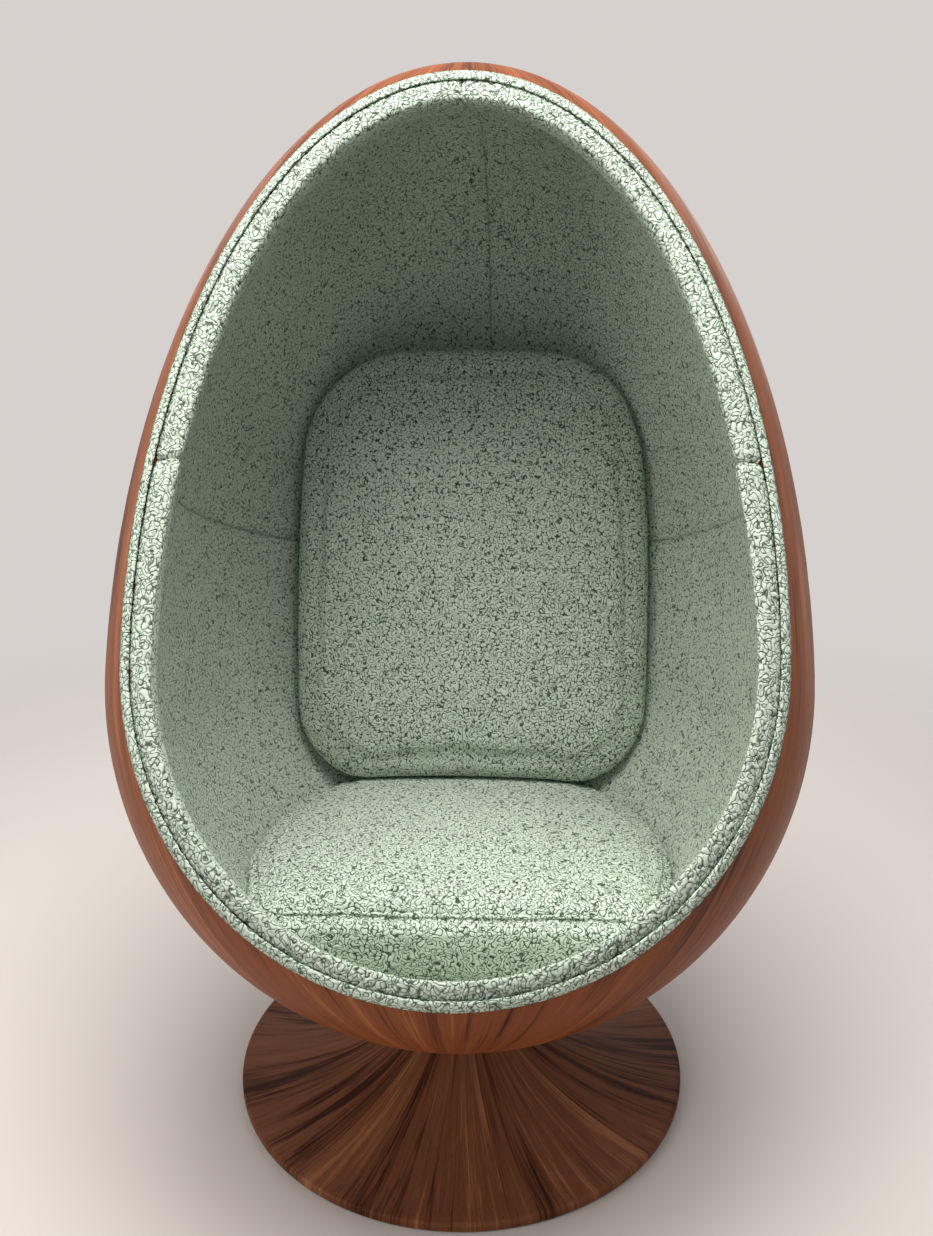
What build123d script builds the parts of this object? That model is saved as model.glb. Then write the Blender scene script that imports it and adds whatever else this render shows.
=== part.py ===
from build123d import *
from build123d import SkipClean
import math
import os

# Pod chair: an egg-shaped moulded shell, padded inside, that swivels on a trumpet foot.
# Millimetres. Origin on the floor under the swivel axis, +Z up, the chair faces -Y.

# Faces stay as they are cut, so that each form of revolution keeps its two halves.
SkipClean.clean = False

# ---- pod shell: two half ellipses turned about a long axis that leans back ----
egg_radius = 418.0          # widest radius of the shell, outside
egg_below = 432.0           # long-axis reach below the widest section
egg_above = 771.0           # long-axis reach above the widest section
egg_lean = 22.6             # degrees the long axis leans back
egg_offset_y = -65.0        # widest section's centre, ahead of the swivel axis
opening_lean = 25.7         # degrees the plane of the opening leans back
opening_ahead = 275.0       # opening plane ahead of the egg's centre, at its height
form_fullness = 0.5523      # pull of the profile's curves; this makes them quarter ellipses
form_edge = -60.0           # degrees round the long axis to the line where the two halves meet
shell_wall = 12.0
shell_edge_round = 3.0
pod_seat_gap = 12.0         # swivel plate to the shell's lowest point

# ---- lining ----
glue_gap = 0.3              # bonded faces
soft_gap = 0.5              # loose cushions to the lining and to each other
upper_pad = 32.0            # thickness of the wing and back pads
lower_pad = 37.0            # thickness of the pads below the side seams
upper_pad_proud = 8.0       # pads standing out of the opening plane
lower_pad_proud = 11.0
pad_outer_round = 8.0       # roll of the pads against the welt
pad_inner_round = 14.0      # roll of the pads into the pod
pad_end_round = 7.0         # rounded ends of the lower pads at the side seams
back_seam_turn = 4.5        # degrees the sewn back seam runs off the middle
side_seam_up = 205.0        # side seams above the egg's centre, measured at the swivel axis
side_seam_fall = 21.7       # degrees the side seams fall towards the back
front_joint_x = 163.0       # where the two lower pads meet under the front
seam_gap = 0.4              # sewn joint between two pads
welt_inset = 1.5            # welt behind the shell's outer face
welt_height = 9.0
welt_round = 4.0

# ---- seat platform ----
deck_rise = 89.0            # underside of the platform above the shell's lowest point
deck_thickness = 15.0
deck_vent_radius = 12.0
deck_vent_circle = 95.0
deck_vents = 6
rib_thickness = 18.0
rib_spacing = 240.0
deck_screw_spacing = 260.0  # front to back
deck_screw_radius = 2.5
deck_screw_head = 5.0
deck_screw_tip_gap = 6.8266 # screw tips above the shell's inside; the screws come out 40 long

# ---- cushions ----
seat_edge_height = 92.0     # seat cushion at its border
seat_crown = 22.0           # rise of the middle above the border
seat_front_ahead = 178.0    # front corners ahead of the egg's centre
seat_rear_behind = 236.0    # rear corners behind the egg's centre
seat_width = 576.0          # at the widest
seat_front_width = 456.0
seat_rear_width = 400.0
seat_front_bow = 8.0        # front and rear borders swell past their corners
seat_rear_bow = 30.0
seat_corner = 62.0
seat_edge_round = 20.0      # height that the rounded border takes
seat_crown_span = 290.0     # from the middle to where the crown is down at the border's height
back_foot_width = 512.0     # at the foot of the widest outline
back_top_width = 492.0
back_height = 632.0
back_side_bow = 13.0        # sides swell past the line from foot to top
back_top_bow = 16.0
back_foot_corner = 120.0
back_top_corner = 165.0
back_front_depth = 42.0     # widest outline to the front face
back_rear_depth = 92.0
back_cap_inset = 130.0      # border to the flat middle of each face
back_fullness = 2.4         # 2 is a round edge, more is squarer
back_steps = 5              # sections from the border to each face
back_lean = 15.0            # degrees
back_shift = 8.0            # the loose cushion lies a little off the middle
back_foot_behind = 191.0    # foot of the widest outline behind the egg's centre

# ---- foot ----
foot_radius = 313.0
foot_wall = 4.0
foot_edge_height = 12.0     # top of the foot's rim above the floor
foot_edge_round = 4.0
foot_floor_gap = 2.0        # rim of the trumpet above the floor
neck_radius = 46.0
neck_gap = 5.0              # swivel plate above the top of the neck
floor_pad_thickness = 3.0
plate_edge_gap = 0.3        # base plate inside the rim of the trumpet
floor_pad_inset = 6.0
ballast_radius = 165.0
ballast_thickness = 14.0

# ---- column and swivel ----
flange_radius = 66.0
flange_thickness = 8.0
column_radius = 32.0
column_wall = 5.0
column_length = 106.0
spacer_height = 10.0
spacer_gap = 0.3
spindle_radius = 20.0
running_gap = 0.05
bush_fit = 0.1
bush_length = 20.0
spindle_end_gap = 5.0       # spindle above the flange
ring_thickness = 2.0
ring_rise = 3.0             # retaining ring above the spindle's end
ring_depth = 1.5
ring_reach = 4.0
bush_clear = 0.5            # retaining ring to the lower bush
washer_thickness = 3.0
washer_gap = 0.3
hub_radius = 35.0
hub_height = 12.0
swivel_plate_radius = 74.0
swivel_plate_thickness = 8.0
saddle_radius = 72.0
block_radius = 82.0
block_rise = 64.0           # top of the inner block above the shell's lowest point

# ---- fasteners ----
bolt_radius = 5.0
bolt_hole_gap = 0.4
bolt_head_radius = 8.5
bolt_head_height = 5.5
nut_height = 8.0
flat_washer_radius = 10.0
flat_washer_thickness = 2.0
column_bolt_circle = 49.0
plate_bolt_circle = 58.0
bolt_count = 4
bolt_past_nut = 3.0

# ---- heights that follow ----
base_plate_bottom = floor_pad_thickness
base_plate_top = foot_edge_height - foot_wall
ballast_top = base_plate_top + ballast_thickness
flange_top = ballast_top + flange_thickness
column_top = flange_top + column_length
hub_bottom = column_top + washer_thickness + washer_gap
swivel_plate_bottom = hub_bottom + hub_height
swivel_plate_top = swivel_plate_bottom + swivel_plate_thickness
neck_top = swivel_plate_bottom - neck_gap
lean = math.radians(egg_lean)
egg_drop = math.hypot(egg_radius * math.sin(lean), egg_below * math.cos(lean))
shell_bottom = swivel_plate_top + pod_seat_gap
egg_centre_z = shell_bottom + egg_drop
block_top = shell_bottom + block_rise
deck_bottom = shell_bottom + deck_rise
deck_top = deck_bottom + deck_thickness
seat_bottom = deck_top + soft_gap
seat_border = seat_bottom + seat_edge_height
pad_inset = shell_wall + glue_gap
upper_inset = pad_inset + upper_pad
lower_inset = pad_inset + lower_pad
world = 4.0 * egg_above
slope = math.radians(opening_lean)
opening = Plane(
    origin=(0, egg_offset_y - opening_ahead, egg_centre_z),
    x_dir=(1, 0, 0),
    z_dir=(0, -math.cos(slope), math.sin(slope)),
)
fall = math.radians(side_seam_fall)
seam = Plane(
    origin=(0, 0, egg_centre_z + side_seam_up),
    x_dir=(1, 0, 0),
    z_dir=(0, math.sin(fall), math.cos(fall)),
)


def egg(inset):
    """The pod's form, drawn in by inset: its profile turned twice through half a circle."""
    radius, foot, head = egg_radius - inset, egg_below - inset, egg_above - inset
    pull = form_fullness
    low = Bezier((0, -foot), (pull * radius, -foot), (radius, -pull * foot), (radius, 0))
    high = Bezier((radius, 0), (radius, pull * head), (pull * radius, head), (0, head))
    half = revolve(make_face(Plane.XZ * (low + high + Line((0, head), (0, -foot)))), Axis.Z, 180)
    turned = Rot(-egg_lean, 0, 0) * Rot(0, 0, form_edge) * (half + Rot(0, 0, 180) * half)
    return Pos(0, egg_offset_y, egg_centre_z) * turned


def behind_opening(proud):
    """All space behind the opening plane moved out by proud."""
    return opening * Pos(0, 0, proud - world / 2) * Box(world, world, world)


def above(height):
    return Pos(0, 0, height + world / 2) * Box(world, world, world)


def below(height):
    return Pos(0, 0, height - world / 2) * Box(world, world, world)


def beside_seam(side):
    """All space above (+1) or below (-1) the two side seams, less half the sewn joint."""
    return seam * Pos(0, 0, side * (world + seam_gap) / 2) * Box(world, world, world)


def lining_inset(point):
    """How far a point lies inside the shell's outer form, near enough for telling faces apart."""
    spot = point - Vector(0, egg_offset_y, egg_centre_z)
    along = spot.Y * math.sin(lean) + spot.Z * math.cos(lean)
    across = math.hypot(spot.X, spot.Y * math.cos(lean) - spot.Z * math.sin(lean))
    reach = egg_below if along < 0 else egg_above
    inset = 0.0
    for _ in range(20):
        form = math.hypot(across / (egg_radius - inset), along / (reach - inset))
        inset += (1 - form) * egg_radius / 2
    return inset


def shell_floor(x, y):
    """Height of the shell's inside face under a place in plan."""
    radius, foot = egg_radius - pad_inset, egg_below - pad_inset
    rise, run, behind = math.sin(lean), math.cos(lean), y - egg_offset_y
    square = (run / foot) ** 2 + (rise / radius) ** 2
    slant = behind * rise * run * (1 / foot ** 2 - 1 / radius ** 2)
    rest = (behind * rise / foot) ** 2 + (x ** 2 + (behind * run) ** 2) / radius ** 2 - 1
    return egg_centre_z - (slant + math.sqrt(slant ** 2 - square * rest)) / square


def deck_screw_places():
    return [
        (x * rib_spacing / 2, egg_offset_y + y * deck_screw_spacing / 2)
        for x in (-1, 1) for y in (-1, 1)
    ]


def deck_screw_tip():
    return max(shell_floor(x, y) for x, y in deck_screw_places()) + deck_screw_tip_gap


def disc(radius, bottom, top, hole=0.0):
    solid = Pos(0, 0, (bottom + top) / 2) * Cylinder(radius, top - bottom)
    if hole:
        solid -= Pos(0, 0, (bottom + top) / 2) * Cylinder(hole, top - bottom)
    return solid


def on_circle(shape, radius, count, start=45.0):
    return [Rot(0, 0, start + i * 360 / count) * Pos(radius, 0, 0) * shape for i in range(count)]


def rim_face(solid):
    """The flat face of a ring that looks out of the opening."""
    return solid.faces().sort_by(Axis(opening.origin, opening.z_dir))[-1]


# ---------------------------------------------------------------- foot and column

def make_base_trumpet():
    rim = foot_edge_height
    outer = EllipticalCenterArc(
        (foot_radius - foot_edge_round, neck_top),
        foot_radius - foot_edge_round - neck_radius, neck_top - rim, 180, arc_size=90)
    corner = CenterArc(
        (foot_radius - foot_edge_round, rim - foot_edge_round), foot_edge_round, 90, -90)
    inner = EllipticalCenterArc(
        (foot_radius - foot_wall, neck_top),
        foot_radius - neck_radius, neck_top - rim + foot_wall, 180, arc_size=90)
    side = Polyline(
        corner @ 1, (foot_radius, foot_floor_gap), (foot_radius - foot_wall, foot_floor_gap), inner @ 1)
    top = Line(inner @ 0, outer @ 0)
    return revolve(make_face(Plane.XZ * (outer + corner + side + inner + top)), Axis.Z)


def make_base_plate():
    radius = foot_radius - foot_wall - plate_edge_gap
    plate = disc(radius, base_plate_bottom, base_plate_top)
    return plate - on_circle(bolt_hole(base_plate_bottom, base_plate_top), column_bolt_circle, bolt_count)


def make_floor_pad():
    return disc(foot_radius - foot_wall - plate_edge_gap - floor_pad_inset, 0, floor_pad_thickness)


def make_ballast_disc():
    ballast = disc(ballast_radius, base_plate_top, ballast_top)
    return ballast - on_circle(bolt_hole(base_plate_top, ballast_top), column_bolt_circle, bolt_count)


def make_column_flange():
    flange = disc(flange_radius, ballast_top, flange_top)
    return flange - on_circle(bolt_hole(ballast_top, flange_top), column_bolt_circle, bolt_count)


def make_column_tube():
    return disc(column_radius, flange_top, column_top, column_radius - column_wall)


def neck_inside(height):
    """Inner radius of the trumpet at a height."""
    share = (neck_top - height) / (neck_top - foot_edge_height + foot_wall)
    return foot_radius - foot_wall - (foot_radius - neck_radius) * math.sqrt(1 - share ** 2)


def make_neck_spacer():
    bottom = column_top - spacer_height
    spacer = Pos(0, 0, column_top - spacer_height / 2) * Cone(
        neck_inside(bottom) - spacer_gap, neck_inside(column_top) - spacer_gap, spacer_height)
    return spacer - disc(column_radius + spacer_gap, bottom, column_top)


def make_bush(bottom):
    return disc(column_radius - column_wall - bush_fit, bottom, bottom + bush_length,
                spindle_radius + running_gap)


def make_thrust_washer():
    return disc(column_radius, column_top, column_top + washer_thickness, spindle_radius + washer_gap)


# ---------------------------------------------------------------- fasteners

def bolt_hole(bottom, top):
    return disc(bolt_radius + bolt_hole_gap, bottom, top)


def hexagon(radius, bottom, top):
    return Pos(0, 0, bottom) * extrude(RegularPolygon(radius, 6), top - bottom)


def make_column_bolts():
    bolt = disc(bolt_radius, base_plate_bottom, flange_top)
    bolt += hexagon(bolt_head_radius, flange_top, flange_top + bolt_head_height)
    return Compound(children=on_circle(bolt, column_bolt_circle, bolt_count))


def make_plate_bolts():
    tip = block_top + flat_washer_thickness + nut_height + bolt_past_nut
    bolt = disc(bolt_radius, swivel_plate_bottom, tip)
    head = disc(bolt_head_radius, swivel_plate_bottom - bolt_head_height, swivel_plate_bottom)
    head = fillet(head.edges().sort_by(Axis.Z)[0], bolt_head_height * 0.6)
    return Compound(children=on_circle(bolt + head, plate_bolt_circle, bolt_count))


def make_plate_washers():
    washer = disc(flat_washer_radius, block_top, block_top + flat_washer_thickness,
                  bolt_radius + bolt_hole_gap)
    return Compound(children=on_circle(washer, plate_bolt_circle, bolt_count))


def make_plate_nuts():
    bottom = block_top + flat_washer_thickness
    nut = hexagon(bolt_head_radius, bottom, bottom + nut_height)
    nut -= disc(bolt_radius + glue_gap / 2, bottom, bottom + nut_height)
    return Compound(children=on_circle(nut, plate_bolt_circle, bolt_count))


def make_deck_screws():
    screw = disc(deck_screw_radius, deck_screw_tip(), deck_top)
    screw += Pos(0, 0, deck_top - deck_screw_head / 4) * Cone(
        deck_screw_radius, deck_screw_head, deck_screw_head / 2)
    return Compound(children=[Pos(x, y, 0) * screw for x, y in deck_screw_places()])


# ---------------------------------------------------------------- swivel

def make_swivel_spindle():
    bottom = flange_top + spindle_end_gap
    spindle = disc(spindle_radius, bottom, hub_bottom)
    groove = bottom + ring_rise
    return spindle - disc(spindle_radius * 2, groove, groove + ring_thickness, spindle_radius - ring_depth)


def make_retaining_ring():
    bottom = flange_top + spindle_end_gap + ring_rise
    ring = disc(spindle_radius + ring_reach, bottom, bottom + ring_thickness,
                spindle_radius - ring_depth)
    mouth = Box(spindle_radius, spindle_radius * 2, ring_thickness)
    return ring - Pos(0, -spindle_radius, bottom + ring_thickness / 2) * mouth


def make_swivel_hub():
    return disc(hub_radius, hub_bottom, swivel_plate_bottom)


def make_swivel_plate():
    plate = disc(swivel_plate_radius, swivel_plate_bottom, swivel_plate_top)
    return plate - on_circle(
        bolt_hole(swivel_plate_bottom, swivel_plate_top), plate_bolt_circle, bolt_count)


def make_mounting_saddle():
    saddle = disc(saddle_radius, swivel_plate_top, egg_centre_z) - egg(-glue_gap)
    saddle -= on_circle(bolt_hole(swivel_plate_top, egg_centre_z), plate_bolt_circle, bolt_count)
    return saddle.solids().sort_by(SortBy.VOLUME)[-1]


def make_mounting_block():
    block = disc(block_radius, shell_bottom, block_top) & egg(shell_wall + glue_gap)
    return block - on_circle(bolt_hole(shell_bottom, block_top), plate_bolt_circle, bolt_count)


# ---------------------------------------------------------------- pod

def make_outer_shell():
    shell = (egg(0) - egg(shell_wall)) & behind_opening(0)
    shell -= on_circle(bolt_hole(swivel_plate_top, block_top), plate_bolt_circle, bolt_count)
    return fillet(rim_face(shell).outer_wire().edges(), shell_edge_round)


def make_rim_welt():
    ring = (egg(welt_inset) - egg(shell_wall)) & behind_opening(welt_height)
    ring -= behind_opening(0)
    return fillet(rim_face(ring).edges(), welt_round)


def pad_ring(inset, proud):
    """Lining between the shell and inset, down to the seat platform, with its rolled edge."""
    ring = (egg(pad_inset) - egg(inset)) & behind_opening(proud) & above(deck_top)
    ring = fillet(rim_face(ring).outer_wire().edges(), pad_outer_round)
    return fillet(rim_face(ring).inner_wires()[0].edges(), pad_inner_round)


def beside(side, x, turn, y_low, y_high):
    """All space to one side of an upright plane through x, between two depths, less half a joint."""
    half = Rot(0, 0, -turn) * Pos(side * (world + seam_gap) / 2, 0, 0) * Box(world, world, world)
    between = Pos(0, (y_low + y_high) / 2, 0) * Box(2 * world, y_high - y_low, world)
    return Pos(x, 0, 0) * half & between


def make_upper_pad(side):
    ring = pad_ring(upper_inset, upper_pad_proud) & beside_seam(1)
    return ring & beside(side, 0, back_seam_turn, -world / 2, world / 2)


def make_lower_pad(side):
    ring = pad_ring(lower_inset, lower_pad_proud) & beside_seam(-1)
    front = ring & beside(side, front_joint_x, 0, -world / 2, egg_offset_y)
    rear = ring & beside(side, 0, back_seam_turn, egg_offset_y, world / 2)
    pad = front + rear
    end = pad.faces().sort_by(Axis(seam.origin, seam.z_dir))[-1]
    inner = [e for e in end.edges() if abs(lining_inset(e @ 0.5) - lower_inset) < glue_gap]
    return fillet(inner, pad_end_round)


def make_seat_deck():
    deck = egg(shell_wall + glue_gap) & above(deck_bottom) & below(deck_top)
    vents = on_circle(disc(deck_vent_radius, deck_bottom, deck_top), deck_vent_circle, deck_vents)
    deck -= [Pos(0, egg_offset_y, 0) * vent for vent in vents]
    hole = disc(deck_screw_head + bolt_hole_gap, deck_bottom, deck_top)
    return deck - [Pos(x, y, 0) * hole for x, y in deck_screw_places()]


def make_deck_rib(side):
    rib = Pos(side * rib_spacing / 2, 0, 0) * Box(rib_thickness, world, world)
    rib = rib & egg(shell_wall + glue_gap) & below(deck_bottom)
    hole = disc(deck_screw_radius + bolt_hole_gap, deck_screw_tip(), deck_bottom)
    return rib - [Pos(x, y, 0) * hole for x, y in deck_screw_places() if x * side > 0]


# ---------------------------------------------------------------- cushions

def seat_outline(inset):
    """Border of the seat cushion in plan, drawn in by inset towards its middle."""
    wide = 1 - 2 * inset / seat_width
    deep = 1 - 2 * inset / (seat_front_ahead + seat_rear_behind)
    front_y = egg_offset_y - seat_front_ahead * deep
    rear_y = egg_offset_y + seat_rear_behind * deep
    front, rear, widest = (w / 2 * wide for w in (seat_front_width, seat_rear_width, seat_width))
    lip = ThreePointArc((-front, front_y), (0, front_y - seat_front_bow * deep), (front, front_y))
    right = ThreePointArc((front, front_y), (widest, egg_offset_y), (rear, rear_y))
    back = ThreePointArc((rear, rear_y), (0, rear_y + seat_rear_bow * deep), (-rear, rear_y))
    left = ThreePointArc((-rear, rear_y), (-widest, egg_offset_y), (-front, front_y))
    border = make_face(lip + right + back + left)
    border = fillet(border.vertices().sort_by(Axis.Y)[:2], seat_corner * deep)
    return fillet([v for v in border.vertices() if abs(v.Y - rear_y) < 0.1], seat_corner * deep)


def seat_pillow(gap):
    """The seat cushion before the lining trims it, made larger all round by gap."""
    shoulder = seat_border - seat_edge_round
    steps = (
        (seat_bottom - gap, seat_edge_round * 0.8),
        (seat_bottom + seat_edge_round * 0.6, seat_edge_round * 0.2),
        ((seat_bottom + shoulder) / 2, 0.0),
        (shoulder + gap, seat_edge_round * 0.1),
        (seat_border - seat_edge_round * 0.35 + gap, seat_edge_round * 0.45),
        (seat_border + gap, seat_edge_round),
        (seat_border + seat_crown * 2, seat_edge_round * 4),
    )
    sections = [Pos(0, 0, height) * seat_outline(inset - gap) for height, inset in steps]
    ball = (seat_crown_span ** 2 + seat_crown ** 2) / (2 * seat_crown)
    crown = Pos(0, egg_offset_y, seat_border + seat_crown - ball) * Rot(0, 90, 0) * Sphere(ball + gap)
    return loft([section.face() for section in sections], True) & crown


def make_seat_cushion():
    return seat_pillow(0) & egg(lower_inset + soft_gap)


def back_outline(inset):
    """Border of the back cushion, drawn in by inset."""
    foot, top = back_foot_width / 2 - inset, back_top_width / 2 - inset
    low, high = inset, back_height - inset
    middle = (foot + top) / 2 + back_side_bow
    right = ThreePointArc((foot, low), (middle, back_height / 2), (top, high))
    over = ThreePointArc((top, high), (0, high + back_top_bow), (-top, high))
    left = ThreePointArc((-top, high), (-middle, back_height / 2), (-foot, low))
    border = make_face(right + over + left + Line((-foot, low), (foot, low)))
    border = fillet(border.vertices().sort_by(Axis.Y)[:2], back_foot_corner - inset / 2)
    return fillet([v for v in border.vertices() if abs(v.Y - high) < 1], back_top_corner - inset / 2)


def make_back_cushion():
    sections = []
    for step in range(-back_steps, back_steps + 1):
        turn = math.radians(90 * abs(step) / back_steps)
        inset = back_cap_inset * (1 - math.cos(turn) ** (2 / back_fullness))
        depth = math.copysign(math.sin(turn) ** (2 / back_fullness), step)
        depth *= back_front_depth if step > 0 else back_rear_depth
        sections.append(Pos(0, 0, depth) * back_outline(inset))
    tilt = math.radians(back_lean)
    stand = Plane(
        origin=(0, egg_offset_y + back_foot_behind, seat_border),
        x_dir=(1, 0, 0),
        z_dir=(0, -math.cos(tilt), math.sin(tilt)),
    )
    pillow = stand * Pos(back_shift, 0, 0) * loft([section.face() for section in sections], True)
    pillow &= egg(lower_inset + soft_gap)
    return pillow - seat_pillow(soft_gap)


def main():
    os.makedirs("parts", exist_ok=True)
    lower_bush = flange_top + spindle_end_gap + ring_rise + ring_thickness + bush_clear
    parts = {
        "floor_pad": make_floor_pad(),
        "base_plate": make_base_plate(),
        "base_trumpet": make_base_trumpet(),
        "ballast_disc": make_ballast_disc(),
        "column_flange": make_column_flange(),
        "column_bolts": make_column_bolts(),
        "column_tube": make_column_tube(),
        "neck_spacer": make_neck_spacer(),
        "lower_bush": make_bush(lower_bush),
        "upper_bush": make_bush(column_top - bush_length),
        "thrust_washer": make_thrust_washer(),
        "swivel_spindle": make_swivel_spindle(),
        "retaining_ring": make_retaining_ring(),
        "swivel_hub": make_swivel_hub(),
        "swivel_plate": make_swivel_plate(),
        "mounting_saddle": make_mounting_saddle(),
        "mounting_block": make_mounting_block(),
        "plate_bolts": make_plate_bolts(),
        "plate_washers": make_plate_washers(),
        "plate_nuts": make_plate_nuts(),
        "outer_shell": make_outer_shell(),
        "rim_welt": make_rim_welt(),
        "upper_left_pad": make_upper_pad(-1),
        "upper_right_pad": make_upper_pad(1),
        "lower_left_pad": make_lower_pad(-1),
        "lower_right_pad": make_lower_pad(1),
        "left_deck_rib": make_deck_rib(-1),
        "right_deck_rib": make_deck_rib(1),
        "seat_deck": make_seat_deck(),
        "deck_screws": make_deck_screws(),
        "seat_cushion": make_seat_cushion(),
        "back_cushion": make_back_cushion(),
    }
    for name, shape in parts.items():
        export_step(shape, f"parts/{name}.step")


if __name__ == "__main__":
    main()
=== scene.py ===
import math

import bmesh
import bpy
import numpy as np
from bpy.props import FloatProperty, FloatVectorProperty, IntProperty, PointerProperty
from bpy.types import Operator, Panel, PropertyGroup
from mathutils import Matrix, Vector
from mathutils.bvhtree import BVHTree


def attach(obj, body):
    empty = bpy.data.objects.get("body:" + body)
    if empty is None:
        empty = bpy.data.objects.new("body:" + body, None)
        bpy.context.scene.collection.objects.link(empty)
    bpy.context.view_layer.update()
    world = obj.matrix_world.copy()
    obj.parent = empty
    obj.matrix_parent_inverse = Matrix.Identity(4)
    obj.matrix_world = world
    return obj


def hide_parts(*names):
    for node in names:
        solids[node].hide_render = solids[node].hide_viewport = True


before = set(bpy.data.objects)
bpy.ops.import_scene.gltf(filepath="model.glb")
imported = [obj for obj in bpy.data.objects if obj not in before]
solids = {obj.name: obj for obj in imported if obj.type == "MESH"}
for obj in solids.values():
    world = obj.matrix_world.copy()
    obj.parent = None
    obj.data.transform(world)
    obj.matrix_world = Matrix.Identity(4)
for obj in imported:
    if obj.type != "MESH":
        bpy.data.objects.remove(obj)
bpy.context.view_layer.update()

bl_info = {
    "name": "Pod chair dressing",
    "version": (1, 0, 0),
    "blender": (4, 5, 0),
    "location": "3D View > Sidebar > Pod chair",
    "description": "Dresses a padded pod chair: looped cloth, walnut veneer and a plain studio",
    "category": "Object",
}

# ---- the pod's form, as the solids have it, in metres ----
egg_radius = 0.418
egg_below = 0.432
egg_above = 0.771
egg_lean = math.radians(22.6)
opening_lean = math.radians(25.7)
shell_bottom = 0.1713
egg_centre = np.array([
    0.0, -0.065,
    shell_bottom + math.hypot(egg_radius * math.sin(egg_lean), egg_below * math.cos(egg_lean)),
])
egg_axes = np.array([
    [1.0, 0.0, 0.0],
    [0.0, math.cos(egg_lean), -math.sin(egg_lean)],
    [0.0, math.sin(egg_lean), math.cos(egg_lean)],
])
across = np.array([1.0, 0.0, 0.0])
upward = np.array([0.0, math.sin(opening_lean), math.cos(opening_lean)])
inward = np.array([0.0, math.cos(opening_lean), -math.sin(opening_lean)])
opening_corner = np.array([0.0, -0.340, egg_centre[2]])
rim_middle = opening_corner + 0.2711 * upward
rim_half_width = 0.338
rim_half_height = 0.499

# insets are measured inwards from the shell's outside, and depths from the opening's plane
pad_outside = 0.0128
roll_outside = 0.0052
welt_outside = -0.0016
welt_inside = 0.0048
welt_back = 0.0004
welt_proud = 0.0078
upper_pad = {"thickness": 0.0315, "proud": 0.0085}
lower_pad = {"thickness": 0.0365, "proud": 0.0115}
panel_gap = 0.0003
back_start = 0.03
wall_end = math.radians(88)
wall_grows_over = 0.055
side_seam_fall = math.radians(21.7)
side_seam_at = np.array([0.0, 0.0, egg_centre[2] + 0.205])
side_seam_up = np.array([0.0, math.sin(side_seam_fall), math.cos(side_seam_fall)])
back_seam_turn = math.radians(4.5)
back_seam_right = np.array([math.cos(back_seam_turn), -math.sin(back_seam_turn), 0.0])
front_joint_x = 0.163
deck_top = 0.2754
seat_seam_height = 0.3655
seat_clearance = 0.0375
back_seat_lean = math.radians(15)
back_foot = np.array([0.0, 0.126, 0.3678])
back_face = np.array([0.0, -math.cos(back_seat_lean), math.sin(back_seat_lean)])
back_up = np.array([0.0, math.sin(back_seat_lean), math.cos(back_seat_lean)])

# what looped_cloth takes for each cloth: curl, how much painted shade in furrows, holes and hollows, how
# much painted highlight, and relief
cloth_looks = {
    "cloth_cushion": (0.0032, 0.95, 0.55, 0.30, 0.55, 0.0016),
    "cloth_wall": (0.0033, 0.70, 0.35, 0.20, 0.30, 0.0012),
    "cloth_rim": (0.0035, 0.74, 0.35, 0.42, 0.22, 0.0016),
}

# the way of each wave in the cloth's shader
yarn_ways = (
    (0.526, 0.851, 0.0), (-0.526, 0.851, 0.0), (0.0, 0.526, 0.851), (0.0, -0.526, 0.851),
    (0.851, 0.0, 0.526), (-0.851, 0.0, 0.526),
)

# the filling of the cushions' covers
cover_cell, fill_steps = 0.005, 20
cover_settings = {
    "quality": 6, "mass": 0.3, "tension_stiffness": 12, "compression_stiffness": 12,
    "shear_stiffness": 6, "bending_stiffness": 0.6, "use_pressure": True,
}

# ---- the stage; the view's focus is in heights of the photograph's frame ----
floor_radius = 7.0
view_place = (0.04462, -1.28811, 1.02517)
view_pitch, view_yaw, view_roll = math.radians(15.789), math.radians(-1.753), math.radians(0.158)
view_focus = 1039.59 / 1236
film_height = 36.0

# each lamp's setting, place, aim, size and colour
lamps = {
    "key_lamp": ("key", (-2.4, -1.4, 1.7), (0, 0, 0.5), (1.8, 1.8), (1.0, 0.98, 0.96)),
    "top_lamp": ("over", (0.0, -0.5, 3.1), (0, -0.1, 0.4), (1.6, 1.6), (1.0, 1.0, 1.0)),
    "fill_lamp": ("fill", (2.4, -0.9, 1.2), (0, 0, 0.5), (1.4, 2.0), (0.96, 0.98, 1.0)),
    "rear_lamp": ("rear", (0.0, 2.6, 1.5), (0, 0, 0.3), (3.2, 1.2), (1.0, 1.0, 1.0)),
}


def shade(red, green, blue):
    """A colour as a screen shows it, 0 to 255, as the renderer's own light values."""
    return tuple(
        c / 12.92 if c <= 0.04045 else ((c + 0.055) / 1.055) ** 2.4
        for c in (v / 255 for v in (red, green, blue))
    )


def colour(name, about, value):
    return FloatVectorProperty(
        name=name, description=about, default=value, size=3, subtype="COLOR", min=0, max=1)


def number(name, about, value, most, **kind):
    return FloatProperty(name=name, description=about, default=value, min=0, max=most, **kind)


def length(name, about, value):
    return number(name, about, value, 1, unit="LENGTH", subtype="DISTANCE", precision=4)


def watts(name, about, value):
    return number(name, about, value, 500, unit="POWER")


# ---- what a user may change ----

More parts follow.
